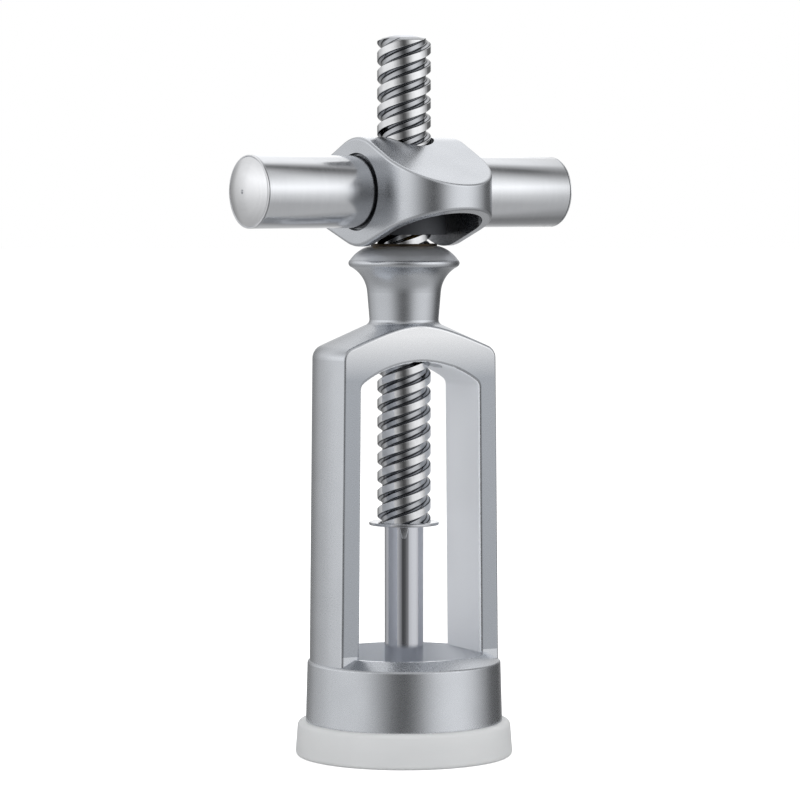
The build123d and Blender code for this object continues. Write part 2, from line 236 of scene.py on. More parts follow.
class ScrewSettings(bpy.types.PropertyGroup):
    """Sizes of the screw spindle, its washer and the worm."""

    starts: bpy.props.IntProperty(name="Starts", description="Number of thread starts", default=3)
    root_radius: length("Root radius", "Radius at the bottom of the thread", 5.25)
    corner_drop: length("Corner drop", "How far the rolled corners of the thread are eased", 0.12)
    corner_share: share("Corner share", "Share of one start over which a corner is eased", 0.014)
    crest_share: share("Crest share", "Share of one start that its crest takes", 0.42)
    root_share: share("Root share", "Share of one start that its root takes", 0.26)
    phase: angle("Phase", "Angle at which the first crest starts at the thread's end", 68.0)
    top_rise: length("Top rise", "Rise of the turned dome on top", 1.7)
    crest_run_out: length("Crest run-out", "Height under the dome's edge at which the winding stops", 0.3)
    shank_radius: length("Shank radius", "Radius of the smooth shank", 4.7)
    shank_chamfer: length("Shank chamfer", "Chamfer at the lower end of the shank", 0.4)
    washer_gap: length("Washer gap", "Gap between washer and shank", 0.02)
    washer_round: length("Washer round", "Round on the washer's edge", 0.14)
    tab_width: length("Tab width", "Width of the washer's bent tab", 2.4)
    tab_length: length("Tab length", "Length of the washer's bent tab", 2.9)
    tab_tip_share: share("Tab tip share", "Share of the tab's width that is left at its tip", 0.4)
    tab_round: length("Tab round", "Round on the tab's edges", 0.16)
    tab_angle: angle("Tab angle", "Where the tab stands round the spindle", -116.0)
    wire_radius: length("Wire radius", "Radius of the worm's wire", 1.2)
    coil_radius: length("Coil radius", "Radius of the worm's coil to the middle of its wire", 3.1)
    worm_pitch: length("Worm pitch", "Rise of the worm in one turn", 7.2)
    worm_start: length("Worm start", "Height at which the coil starts over the ground", 1.7)
    tip_length: length("Tip length", "Length of the ground point", 3.0)
    head_radius: length("Head radius", "Radius of the worm's flat head", 4.6)
    head_thickness: length("Head thickness", "Thickness of the worm's flat head", 2.8)
    head_round: length("Head round", "Round on the edges of the worm's head", 0.4)


class HandleSettings(bpy.types.PropertyGroup):
    """Sizes of the handle bars and their caps, measured along the handle from the spindle."""

    yaw: angle("Yaw", "Turn of the handle over the bell at rest", 9.0)
    hub_core_radius: length("Hub core radius", "Radius round the spindle that the hub's hollow takes", 10.4)
    bar_start: length("Bar start", "Where the bar sits in the hub's recess", 12.9)
    bar_end: length("Bar end", "Where the bar meets its cap", 43.7)
    bar_wall: length("Bar wall", "Wall of the tubular bar", 1.4)
    edge_round: length("Edge round", "Round on the ends of the bar", 0.14)
    seam_gap: length("Seam gap", "Open seam between bar and cap", 0.14)
    spigot_length: length("Spigot length", "Length of the cap's spigot in the bar", 5.0)
    spigot_gap: length("Spigot gap", "Gap between spigot and bar", 0.02)
    cap_rim: length("Cap rim", "Thickness of the cap's rim", 0.42)
    cap_lip: length("Cap lip", "Width of the lip round the dome", 0.22)
    cap_groove: length("Cap groove", "Width and depth of the groove between lip and dome", 0.26)
    dome_rise: length("Dome rise", "Rise of the cap's dome over its rim", 1.8)
    mark_radius: length("Mark radius", "Radius of the turned centre mark", 0.5)
    mark_depth: length("Mark depth", "Depth of the turned centre mark", 0.5)
    mark_taper: share("Mark taper", "Share of the mark's radius that is left at its bottom", 0.7)


class FootSettings(bpy.types.PropertyGroup):
    """Sizes of the plastic foot."""

    top_radius: length("Top radius", "Outer radius at the top of the foot", 25.6)
    ring_height: length("Ring height", "Height at which the bell stands on the foot", 8.4)
    spigot_radius: length("Spigot radius", "Radius of the spigot inside the bell", 18.98)
    throat_radius: length("Throat radius", "Radius of the throat that the cork passes", 13.2)
    mouth_radius: length("Mouth radius", "Radius of the seat for the bottle mouth", 15.5)
    mouth_depth: length("Mouth depth", "Depth of the seat for the bottle mouth", 6.4)
    outer_round: length("Outer round", "Round on the outer edges", 1.1)
    inner_round: length("Inner round", "Round on the inner edges", 0.4)


class FinishSettings(bpy.types.PropertyGroup):
    """Colours and roughness of the finishes, and the faces of the bell that differ from the rest."""

    casting_dark: colour("Casting dark", "Darker clouds of the satin nickel", "C2C5CA")
    casting_light: colour("Casting light", "Lighter clouds of the satin nickel", "D1D4D9")
    # Painted shade: this dark colour is painted into the cored hollows and narrow recesses of the castings
    casting_painted_shade: colour("Casting recess", "Dull metal in the cored hollows", "5A5C60")
    casting_roughness: share("Casting roughness", "Roughness of the satin nickel", 0.27)
    window_half_width: length("Window half width", "Half width of the faces inside the window", 16.5)
    window_half_depth: length("Window half depth", "Half depth of the faces inside the window", 9.0)
    window_top: length("Window top", "Height under which the faces inside the window lie", 96.0)
    bore_radius: length("Bore radius", "Radius round the faces inside the ring", 19.3)
    bore_top: length("Bore top", "Height under which the faces inside the ring lie", 24.7)
    crown_base: length("Crown base", "Height over which the flange's crown keeps its dull skin", 119.2)
    crown_share: share("Crown share", "How much of the dull skin is left on the flange's crown", 0.45)
    skin_colour: colour("Skin colour", "Dull die skin on the inner faces", "F2F5FA")
    skin_metallic: share("Skin metallic", "How metallic the dull skin on the inner faces looks", 0.3)
    # Painted light on the bell's flat faces: the trim colour is a painted shade that darkens the faces
    # beside the window towards the foot, and the arch colour is a painted highlight over the window
    trim_painted_shade: colour("Trim colour", "Duller cut of the trimmed faces beside the window", "A0A4AA")
    arch_painted_highlight: colour("Arch colour", "Brighter cut of the trimmed faces over the window", "E2E3E5")
    trim_foot: length("Trim foot", "Height over the ring at which the trimmed faces start", 25.5)
    trim_full: length("Trim full", "Height under which the trimmed faces are fully dull", 91.0)
    trim_top: length("Trim top", "Height over which the trimmed faces are bright", 101.5)
    flat_top: length("Flat top", "Height at which the trimmed faces end", 104.0)
    bar_dark: colour("Bar dark", "Darker grinding lines on the bars", "CFD1D5")
    bar_light: colour("Bar light", "Lighter grinding lines on the bars", "DCDEE1")
    cap_dark: colour("Cap dark", "Darker turning lines on the caps", "DFE0E3")
    cap_light: colour("Cap light", "Lighter turning lines on the caps", "EBECEE")
    bar_roughness: share("Bar roughness", "Roughness of the satin bars", 0.18)
    screw_crest: colour("Screw crest", "Burnished crests of the rolled screw", "DFE0E2")
    screw_shank: colour("Screw shank", "Ground shank under the thread", "C5C7CD")
    # Painted shade: the darker roots and flanks and the dark lines in the thread's corners are painted in
    # the root and oil colours; the oil colour also tints the random oil stains
    screw_root: colour("Screw root", "Duller roots and flanks of the rolled screw", "B6B8BC")
    screw_oil_and_painted_shade: colour("Screw oil", "Darkened oil in the corners of the thread", "2E3033")
    screw_roughness: share("Screw roughness", "Roughness of the burnished crests", 0.09)
    brass_dark: colour("Brass dark", "Darker turning lines of the brass", "A98B4C")
    brass_light: colour("Brass light", "Lighter turning lines of the brass", "C7A963")
    bronze_dark: colour("Bronze dark", "Oil in the pores of the bush", "241F1A")
    bronze_light: colour("Bronze light", "Oiled bronze of the bush", "4A4136")
    steel_dark: colour("Steel dark", "Darker drawing lines of the steel", "A6A8AD")
    steel_light: colour("Steel light", "Lighter drawing lines of the steel", "CFD1D5")
    plastic_dark: colour("Plastic dark", "Milky body of the foot", "DDDFE0")
    plastic_light: colour("Plastic light", "Lighter flow of the foot", "E4E5E6")


class StudioSettings(bpy.types.PropertyGroup):
    """Camera and light."""

    azimuth: angle("Azimuth", "Camera angle round the object", -26.0)
    pitch: angle("Pitch", "Downward tilt of the camera", 3.27)
    yaw_offset: angle("Yaw offset", "Small turn that frames the object", 0.064)
    distance: length("Distance", "Camera distance from the spindle axis", 864.0)
    height: length("Height", "Camera height over the floor", 135.0)
    lens: bpy.props.FloatProperty(
        name="Lens", description="Focal length in millimetres on a 36 mm sensor", default=162.0
    )
    diffuse_level: share("Diffuse level", "Light from the surroundings on matt surfaces", 0.56)
    panel_strength: bpy.props.FloatProperty(
        name="Panel strength", description="Strength of the brightest studio panel", default=1.5
    )
    floor_colour: colour("Floor colour", "Pale floor", "F4F4F4")
    floor_glow: share("Floor glow", "Light that lifts the floor to white in the picture", 0.58)


def add_node(tree, kind, inputs=(), **settings):
    """Adds one shader node of a kind such as Math. Its inputs go by order or by name.

    An input is a constant, a socket, or a node whose first live output it takes.
    """
    node = tree.nodes.new("ShaderNode" + kind)
    for name, value in settings.items():
        setattr(node, name, value)
    for name, value in inputs.items() if isinstance(inputs, dict) else enumerate(inputs):
        if isinstance(value, bpy.types.Node):
            value = next(socket for socket in value.outputs if socket.enabled)
        if isinstance(value, bpy.types.NodeSocket):
            tree.links.new(value, node.inputs[name])
        else:
            node.inputs[name].default_value = value
    return node


def new_material(name):
    """Empty node material."""
    material = bpy.data.materials.new(name)
    material.use_nodes = True
    material.node_tree.nodes.clear()
    return material, material.node_tree


def grain(tree, size_mm, detail=FINE_DETAIL, turn=0.0):
    """Noise whose grains have the given size along X, Y and Z, turned about the spindle."""
    cells = {
        "Vector": add_node(tree, "TexCoord").outputs["Object"],
        "Rotation": (0, 0, turn),
        "Scale": [size * MM for size in size_mm],
    }
    cells = add_node(tree, "Mapping", cells, vector_type="TEXTURE")
    return add_node(tree, "TexNoise", {"Vector": cells, "Detail": detail, "Scale": 1.0})


def places(tree):
    """Coordinates of a point, and its distance from the spindle's axis."""
    here = add_node(tree, "TexCoord").outputs["Object"]
    axes = add_node(tree, "SeparateXYZ", [here]).outputs
    flat = add_node(tree, "CombineXYZ", [axes["X"], axes["Y"]])
    return axes, add_node(tree, "VectorMath", [flat], operation="LENGTH")


def within(tree, limits):
    """1 where every coordinate lies within its limit of the middle, and 0 elsewhere."""
    mask = 1.0
    for coordinate, limit in limits:
        near = add_node(tree, "Math", [coordinate, 0.0, limit], operation="COMPARE")
        mask = add_node(tree, "Math", [near, mask], operation="MULTIPLY")
    return mask


def two_tones(finish_name):
    """Darker and lighter tone of a finish, as the colours A and B of a Mix node."""
    finish = bpy.context.scene.corkscrew_finish
    return {"A": getattr(finish, finish_name + "_dark"), "B": getattr(finish, finish_name + "_light")}


def metal_finish(tree, base, roughness, height, relief, metallic=1.0):
    """Metal shader over a colour, a roughness and a fine relief, with its output."""
    depth, strength = relief
    bump = add_node(tree, "Bump", {"Height": height, "Strength": strength, "Distance": depth * MM})
    shader = {"Base Color": base, "Roughness": roughness, "Metallic": metallic, "Normal": bump}
    add_node(tree, "OutputMaterial", {"Surface": add_node(tree, "BsdfPrincipled", shader)})


def grained_metal(name, metal, size_mm, roughness, relief):
    """Metal whose colour, roughness and relief all follow one grain between its dark and light tone."""
    material, tree = new_material(name)
    lines = grain(tree, size_mm)
    base = add_node(tree, "Mix", {"Factor": lines, **two_tones(metal)}, data_type="RGBA")
    rough = add_node(tree, "MapRange", [lines, *GRAIN_LEVELS, *roughness])
    metal_finish(tree, base, rough, lines, relief)
    return material


def drawn_steel(name):
    """Drawn and rolled steel, plated bright: the eye gets a hard gleam broken by fine die lines."""
    return grained_metal(name, "steel", STEEL_LINES, STEEL_ROUGHNESS, STEEL_RELIEF)


def turned_brass():
    """Free-cutting brass as it left the lathe: the eye gets warm rings of fine turning lines."""
    return grained_metal("turned_brass", "brass", BRASS_RINGS, BRASS_ROUGHNESS, BRASS_RELIEF)


def oiled_bronze():
    """Sintered bronze soaked in oil: the eye gets a nearly black brown with a dull, wet sheen."""
    return grained_metal("oiled_bronze", "bronze", BRONZE_PORES, BRONZE_ROUGHNESS, BRONZE_RELIEF)


def outside_shaded_hub_core(tree, axes, radius):
    """0 in the cored hollow under the hub's boss, which gets the painted shade, and 1 elsewhere."""
    core_radius = bpy.context.scene.corkscrew_handle.hub_core_radius
    beside = add_node(tree, "Math", [radius, core_radius], operation="GREATER_THAN")
    above = add_node(tree, "Math", [axes["Z"], HANDLE_HEIGHT], operation="GREATER_THAN")
    return add_node(tree, "Math", [beside, above], operation="MAXIMUM")


def paint_flat_face_light(tree, height, base):
    """Paints light and shade onto the bell's flat faces, over its tumbled colour.

    The faces beside the window get a painted shade that darkens towards the foot, and the face over the
    window a painted highlight.
    """
    finish = bpy.context.scene.corkscrew_finish
    facing = add_node(tree, "TexCoord").outputs["Normal"]
    facing = add_node(tree, "SeparateXYZ", [facing]).outputs["Y"]
    facing = add_node(tree, "Math", [facing], operation="ABSOLUTE")
    flat = add_node(tree, "MapRange", [facing, *FACING_LEVELS])
    low_enough = within(tree, [(height, finish.flat_top)])
    flat = add_node(tree, "Math", [flat, low_enough], operation="MULTIPLY")
    on_ring = within(tree, [(height, finish.trim_foot)])
    flat = add_node(tree, "Math", [flat, on_ring], operation="SUBTRACT", use_clamp=True)
    # Painted shade deepens from the top of the trim towards the foot, with the painted highlight over the
    # window
    painted_shade_share = add_node(tree, "MapRange", [height, finish.trim_top, finish.trim_full])
    cut = {"Factor": painted_shade_share, "A": finish.arch_painted_highlight, "B": finish.trim_painted_shade}
    cut = add_node(tree, "Mix", cut, data_type="RGBA")
    return add_node(tree, "Mix", {"Factor": flat, "A": base, "B": cut}, data_type="RGBA")


def die_skin(tree, axes, radius):
    """How much of the die's dull skin is left: all inside the window and the ring, some on the crown."""
    finish = bpy.context.scene.corkscrew_finish
    sides = [(axes["X"], finish.window_half_width), (axes["Y"], finish.window_half_depth)]
    window = within(tree, [*sides, (axes["Z"], finish.window_top)])
    bore = within(tree, [(radius, finish.bore_radius), (axes["Z"], finish.bore_top)])
    crown = add_node(tree, "Math", [axes["Z"], finish.crown_base], operation="GREATER_THAN")
    crown = add_node(tree, "Math", [crown, finish.crown_share], operation="MULTIPLY")
    skin = add_node(tree, "Math", [window, bore], operation="MAXIMUM")
    return add_node(tree, "Math", [skin, crown], operation="MAXIMUM")


def satin_nickel_casting(name, reach, is_bell):
    """Satin nickel plate on a tumbled zinc die casting.

    The eye gets a soft grey sheen with faint clouds and a fine tumbled grain. The cored hollows and
    narrow recesses are painted dark, as painted shade, and are made rougher.
    """
    finish = bpy.context.scene.corkscrew_finish
    material, tree = new_material(name)
    clouds = grain(tree, CASTING_CLOUDS)
    pores = grain(tree, CASTING_PORES, PLAIN_DETAIL)
    axes, radius = places(tree)
    tint = add_node(tree, "Mix", {"Factor": clouds, **two_tones("casting")}, data_type="RGBA")
    # Painted shade: a hollow that closes within this reach is painted dark and made rougher
    openness = add_node(tree, "AmbientOcclusion", {"Distance": reach}, samples=REACH_SAMPLES)
    unshaded_and_polished = add_node(tree, "MapRange", [openness.outputs["AO"], *OPEN_LEVELS])
    if not is_bell:
        # The hub's cored hollow under its boss gets the painted shade too
        outside = outside_shaded_hub_core(tree, axes, radius)
        unshaded_and_polished = add_node(tree, "Math", [unshaded_and_polished, outside], operation="MULTIPLY")
    # The painted shade in the hollows is mixed over the satin tint
    base = {"Factor": unshaded_and_polished, "A": finish.casting_painted_shade, "B": tint}
    base = add_node(tree, "Mix", base, data_type="RGBA")
    swing = [finish.casting_roughness + change for change in CASTING_SWING]
    fine = add_node(tree, "MapRange", [pores, *GRAIN_LEVELS, *swing])
    dull = add_node(tree, "MapRange", [unshaded_and_polished, 0.0, 1.0, HOLLOW_ROUGHNESS, 0.0])
    roughness = add_node(tree, "Math", [fine, dull], operation="ADD")
    metallic = 1.0
    if is_bell:
        skin = die_skin(tree, axes, radius)
        base = {"Factor": skin, "A": paint_flat_face_light(tree, axes["Z"], base), "B": finish.skin_colour}
        base = add_node(tree, "Mix", base, data_type="RGBA")
        roughness = add_node(tree, "Math", [skin, SKIN_ROUGHNESS, roughness], operation="MULTIPLY_ADD")
        metallic = add_node(tree, "MapRange", [skin, 0.0, 1.0, metallic, finish.skin_metallic])
    metal_finish(tree, base, roughness, pores, CASTING_RELIEF, metallic)
    return material


def satin_nickel_bar(name, piece):
    """Satin nickel plate on tube that was ground between centres.

    The eye gets crisp bands of light along the bar, and faint lines that run round it.
    """
    finish = bpy.context.scene.corkscrew_finish
    yaw = bpy.context.scene.corkscrew_handle.yaw
    material, tree = new_material(name)
    # Real grinding lines are finer than 0.1 mm and are drawn coarser so that they show
    lines = grain(tree, BAR_LINES, turn=yaw)
    clouds = grain(tree, BAR_CLOUDS, PLAIN_DETAIL, yaw)
    base = add_node(tree, "Mix", {"Factor": lines, **two_tones(piece)}, data_type="RGBA")
    wander = add_node(tree, "Math", [lines, clouds], operation="MULTIPLY")
    swing = [finish.bar_roughness + change for change in BAR_SWING]
    roughness = add_node(tree, "MapRange", [wander, *LINE_CLOUD_LEVELS, *swing])
    metal_finish(tree, base, roughness, lines, BAR_RELIEF)
    return material


def fill_ramp(node, stops):
    """Sets the stops of a colour ramp from (place, colour) pairs, and returns the node."""
    elements = node.color_ramp.elements
    for element, (place, tone) in zip(elements, (stops[0], stops[-1])):
        element.position = place
        element.color = tone
    for place, tone in stops[1:-1]:
        elements.new(place).color = tone
    return node


def rolled_screw_steel():
    """Bright nickel-plated steel with a rolled thread.

    The eye gets burnished crests that mirror the studio, darker roots and flanks with painted shade, dark
    lines of painted shade in the thread's corners, random oil stains and fine lines along the helix.
    """
    finish = bpy.context.scene.corkscrew_finish
    screw = bpy.context.scene.corkscrew_screw
    material, tree = new_material("rolled_screw_steel")
    axes, radius = places(tree)
    # The shank is thinner than the thread's root and is ground bright all over
    shank_limit = (screw.shank_radius + screw.root_radius) / 2
    shank = add_node(tree, "Math", [radius, shank_limit], operation="LESS_THAN")
    height = add_node(tree, "MapRange", [radius, screw.root_radius, CREST_RADIUS])
    height = add_node(tree, "Math", [height, shank], operation="MAXIMUM")
    turn = add_node(tree, "Math", [axes["Y"], axes["X"]], operation="ARCTAN2")
    rise = add_node(tree, "Math", [axes["Z"], FULL_TURN / THREAD_LEAD], operation="MULTIPLY")
    helix = add_node(tree, "Math", [rise, turn], operation="SUBTRACT")
    wave = add_node(tree, "Math", [helix, ROLLING_LINES], operation="MULTIPLY")
    lines = add_node(tree, "Math", [wave], operation="SINE")
    # The ramp paints shade into the thread: darker roots and flanks and dark lines at the corners
    tones = [(place, getattr(finish, tone)) for place, tone in THREAD_TONES]
    tones = fill_ramp(add_node(tree, "ValToRGB", [height]), tones)
    stains = grain(tree, SCREW_STAINS)
    stains = add_node(tree, "MapRange", [stains, *STAIN_LEVELS, 0.0, STAIN_SHARE])
    base = add_node(tree, "Mix", {"Factor": stains, "A": tones, "B": finish.screw_oil_and_painted_shade}, data_type="RGBA")
    base = add_node(tree, "Mix", {"Factor": shank, "A": base, "B": finish.screw_shank}, data_type="RGBA")
    rough = finish.screw_roughness
    roughness = add_node(tree, "MapRange", [height, 0.0, 1.0, rough + ROOT_ROUGHNESS, rough])
    metal_finish(tree, base, roughness, lines, SCREW_RELIEF)
    return material


def frosted_polypropylene():
    """Polypropylene moulded in a matt-etched tool: milky, with light soaking in at its edges."""
    material, tree = new_material("frosted_polypropylene")
    frost = grain(tree, FOOT_FROST, PLAIN_DETAIL)
    flow = {"Factor": grain(tree, FOOT_FLOW), **two_tones("plastic")}
    depth, strength = FOOT_RELIEF
    shader = {
        "Base Color": add_node(tree, "Mix", flow, data_type="RGBA"),
        "Roughness": add_node(tree, "MapRange", [frost, *GRAIN_LEVELS, *FOOT_ROUGHNESS]),
        "IOR": PLASTIC_IOR,
        "Transmission Weight": PLASTIC_TRANSMISSION,
        "Subsurface Weight": PLASTIC_SUBSURFACE,
        "Subsurface Radius": (1.0, 1.0, 1.0),
        "Subsurface Scale": PLASTIC_DEPTH,
        "Normal": add_node(tree, "Bump", {"Height": frost, "Strength": strength, "Distance": depth * MM}),
    }
    add_node(tree, "OutputMaterial", {"Surface": add_node(tree, "BsdfPrincipled", shader)})
    return material


def dress_node(name, material):
    """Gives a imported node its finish."""
    node = frame["nodes"][name]
    node.data.materials.clear()
    node.data.materials.append(material)


def place_piece(shape, name, node, material):
    """Makes a piece from a finished shape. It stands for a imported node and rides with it."""
    bmesh.ops.recalc_face_normals(shape, faces=shape.faces)
    mesh = bpy.data.meshes.new(name)
    shape.to_mesh(mesh)
    shape.free()
    mesh.shade_smooth()
    mesh.set_sharp_from_angle(angle=SMOOTH_ANGLE)
    mesh.materials.append(material)
    piece = bpy.data.objects.new(name, mesh)
    bpy.context.scene.collection.objects.link(piece)
    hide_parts(node)
    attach(piece, BODY_OF[node])


def sleeve(inner, outer, bottom, top):
    """Outline of a plain sleeve, or of a disc if its inner radius is 0."""
    return ((inner, bottom), (outer, bottom), (outer, top), (inner, top))


def turn_outline(shape, outline, closed=True):
    """Turns an outline of (radius, height) points about the Z axis, and merges its seam and poles."""
    corners = [shape.verts.new((radius, 0, height)) for radius, height in outline]
    pairs = list(zip(corners, corners[1:]))
    if closed:
        pairs.append((corners[-1], corners[0]))
    edges = [shape.edges.new(pair) for pair in pairs]
    bmesh.ops.spin(
        shape,
        geom=corners + edges,
        cent=(0, 0, 0),
        axis=(0, 0, 1),
        angle=FULL_TURN,
        steps=TURNED_STEPS,
        use_merge=True,
    )
    bmesh.ops.remove_doubles(shape, verts=shape.verts, dist=MERGE_DISTANCE)
    bmesh.ops.recalc_face_normals(shape, faces=shape.faces)


def round_edges(shape, edges, width, segments=ROUND_SEGMENTS):
    """Rounds the given edges."""
    bmesh.ops.bevel(
        shape, geom=edges, offset=width, affect="EDGES", segments=segments, profile=0.5, material=-1
    )


def soften(shape, width, chosen=None, segments=ROUND_SEGMENTS):
    """Rounds the sharp corners of a shape, or those that chosen picks."""
    sharp = [
        edge
        for edge in shape.edges
        if edge.calc_face_angle(0.0) > CORNER_ANGLE and (chosen is None or chosen(edge))
    ]
    round_edges(shape, sharp, width, segments)


def edge_radius(edge):
    """Distance of an edge's first end from the Z axis."""
    return edge.verts[0].co.xy.length


def ring_of(geometry):
    """Edges in a piece of geometry that join its own vertices."""
    verts = {item for item in geometry if isinstance(item, bmesh.types.BMVert)}
    return [
        item
        for item in geometry
        if isinstance(item, bmesh.types.BMEdge) and all(end in verts for end in item.verts)
    ]


def grow_ring(shape, ring, move):
    """Extrudes a closed ring of edges once, moves its new vertices and returns the new ring."""
    made = bmesh.ops.extrude_edge_only(shape, edges=ring)["geom"]
    for item in made:
        if isinstance(item, bmesh.types.BMVert):
            item.co = move(item.co)
    return ring_of(made)


def wind(shape, section, rise, turns, steps_per_turn):
    """Winds a section up round the Z axis as a right-hand helix, and returns its last ring."""
    steps = round(turns * steps_per_turn)
    last = bmesh.ops.spin(
        shape,
        geom=section,
        cent=(0, 0, 0),
        axis=(0, 0, 1),
        dvec=(0, 0, rise / steps),
        angle=FULL_TURN * turns,
        steps=steps,
    )["geom_last"]
    return ring_of(last)


def thread_outline():
    """Angle and radius of each vertex round the thread's section, one start after another."""
    screw = bpy.context.scene.corkscrew_screw
    corner = screw.corner_share
    flank = (1 - screw.crest_share - screw.root_share) / 2
    root_start = screw.crest_share + flank
    root_end = root_start + screw.root_share
    points = []
    for step in range(CREST_STEPS + 1):
        along = corner + (screw.crest_share - 2 * corner) * step / CREST_STEPS
        points.append((along, CREST_RADIUS))
    points.append((screw.crest_share + corner, CREST_RADIUS - screw.corner_drop))
    points.append((root_start - corner, screw.root_radius + screw.corner_drop))
    for step in range(ROOT_STEPS + 1):
        along = root_start + corner + (screw.root_share - 2 * corner) * step / ROOT_STEPS
        points.append((along, screw.root_radius))
    points.append((root_end + corner, screw.root_radius + screw.corner_drop))
    points.append((1 - corner, CREST_RADIUS - screw.corner_drop))
    start_turn = FULL_TURN / screw.starts
    return [
        (screw.phase + start_turn * (start + along), radius)
        for start in range(screw.starts)
        for along, radius in points
    ]


def on_dome(flat_place):
    """Point of the spindle's turned dome over a place in the XY plane."""
    rise = bpy.context.scene.corkscrew_screw.top_rise
    dome_radius = (CREST_RADIUS**2 + rise**2) / (2 * rise)
    height = SCREW_HIGH.z - dome_radius + math.sqrt(dome_radius**2 - flat_place.length_squared)
    return Vector((flat_place.x, flat_place.y, height))


def at_radius(place, radius, height):
    """Point in the direction of a place from the Z axis, at a radius and a height."""
    direction = place.xy.normalized()
    return Vector((direction.x * radius, direction.y * radius, height))


class CORKSCREW_OT_castings(bpy.types.Operator):
    """Finish the cast bell and the cast hub."""

    bl_idname = "corkscrew.castings"
    bl_label = "Castings"

    def execute(self, context):
        dress_node("bell_frame", satin_nickel_casting("satin_nickel_bell", BELL_REACH, is_bell=True))
        dress_node("handle_hub", satin_nickel_casting("satin_nickel_hub", HUB_REACH, is_bell=False))
        return {"FINISHED"}


class CORKSCREW_OT_inner_parts(bpy.types.Operator):
    """Finish the bush, the threaded insert and the steel tie rods."""

    bl_idname = "corkscrew.inner_parts"
    bl_label = "Inner parts"

    def execute(self, context):
        dress_node("neck_bush", oiled_bronze())
        dress_node("nut_insert", turned_brass())
        steel = drawn_steel("drawn_rod_steel")
        dress_node("left_tie_rod", steel)
        dress_node("right_tie_rod", steel)
        return {"FINISHED"}


class CORKSCREW_OT_spindle(bpy.types.Operator):
    """Model the three-start screw spindle with its smooth shank."""

    bl_idname = "corkscrew.spindle"
    bl_label = "Screw spindle"

    def execute(self, context):
        screw = context.scene.corkscrew_screw
        outline = thread_outline()
        shape = bmesh.new()
        ring = bmesh.ops.create_circle(shape, segments=len(outline), radius=CREST_RADIUS)["verts"]
        for vertex, (direction, radius) in zip(ring, outline):
            vertex.co = (radius * math.cos(direction), radius * math.sin(direction), THREAD_END)
        foot_ring = list(shape.edges)
        # The winding stops just under the dome, and its last ring then runs on up to the dome
        rise = SCREW_HIGH.z - screw.top_rise - screw.crest_run_out - THREAD_END
        top_ring = wind(shape, ring + foot_ring, rise, rise / THREAD_LEAD, THREAD_STEPS_PER_TURN)

        def run_out(place):
            end = on_dome(place.xy)
            return Matrix.Rotation(FULL_TURN * (end.z - place.z) / THREAD_LEAD, 3, "Z") @ end

        top_ring = grow_ring(shape, top_ring, run_out)
        for shrink in DOME_RING_SHARES:
            top_ring = grow_ring(shape, top_ring, lambda place: on_dome(place.xy * shrink))
        bmesh.ops.contextual_create(shape, geom=top_ring)
        for radius, height in (
            (screw.shank_radius, THREAD_END),
            (screw.shank_radius, SCREW_LOW.z + screw.shank_chamfer),
            (screw.shank_radius - screw.shank_chamfer, SCREW_LOW.z),
        ):
            foot_ring = grow_ring(shape, foot_ring, lambda place: at_radius(place, radius, height))
        bmesh.ops.contextual_create(shape, geom=foot_ring)
        place_piece(shape, "screw_spindle", "spindle", rolled_screw_steel())
        return {"FINISHED"}


class CORKSCREW_OT_washer(bpy.types.Operator):
    """Model the thin stop washer and its pointed, bent tab."""

    bl_idname = "corkscrew.washer"
    bl_label = "Stop washer"

    def execute(self, context):
        screw = context.scene.corkscrew_screw
        bore = screw.shank_radius + screw.washer_gap
        tab_top = WASHER_LOW.z + screw.tab_length
        tab_middle = WASHER_LOW.z + screw.tab_length / 2
        thickness = THREAD_END - tab_top
        shape = bmesh.new()
        turn_outline(shape, sleeve(bore, WASHER_HIGH.x, tab_top, THREAD_END))
        soften(shape, screw.washer_round, lambda edge: edge_radius(edge) > screw.shank_radius + thickness)
        place = (
            Matrix.Rotation(screw.tab_angle, 4, "Z")
            @ Matrix.Translation((bore + thickness / 2, 0, tab_middle))
            @ Matrix.Diagonal((thickness, screw.tab_width, screw.tab_length, 1))
        )
        tab = bmesh.ops.create_cube(shape, size=1.0, matrix=place)["verts"]
        bmesh.ops.scale(
            shape,
            verts=[vertex for vertex in tab if vertex.co.z < tab_middle],
            vec=(1, screw.tab_tip_share, 1),
            space=Matrix.Rotation(-screw.tab_angle, 4, "Z"),
        )
        round_edges(shape, list({edge for vertex in tab for edge in vertex.link_edges}), screw.tab_round)
        place_piece(shape, "stop_washer_disc", "stop_washer", drawn_steel("rolled_strip_steel"))
        return {"FINISHED"}


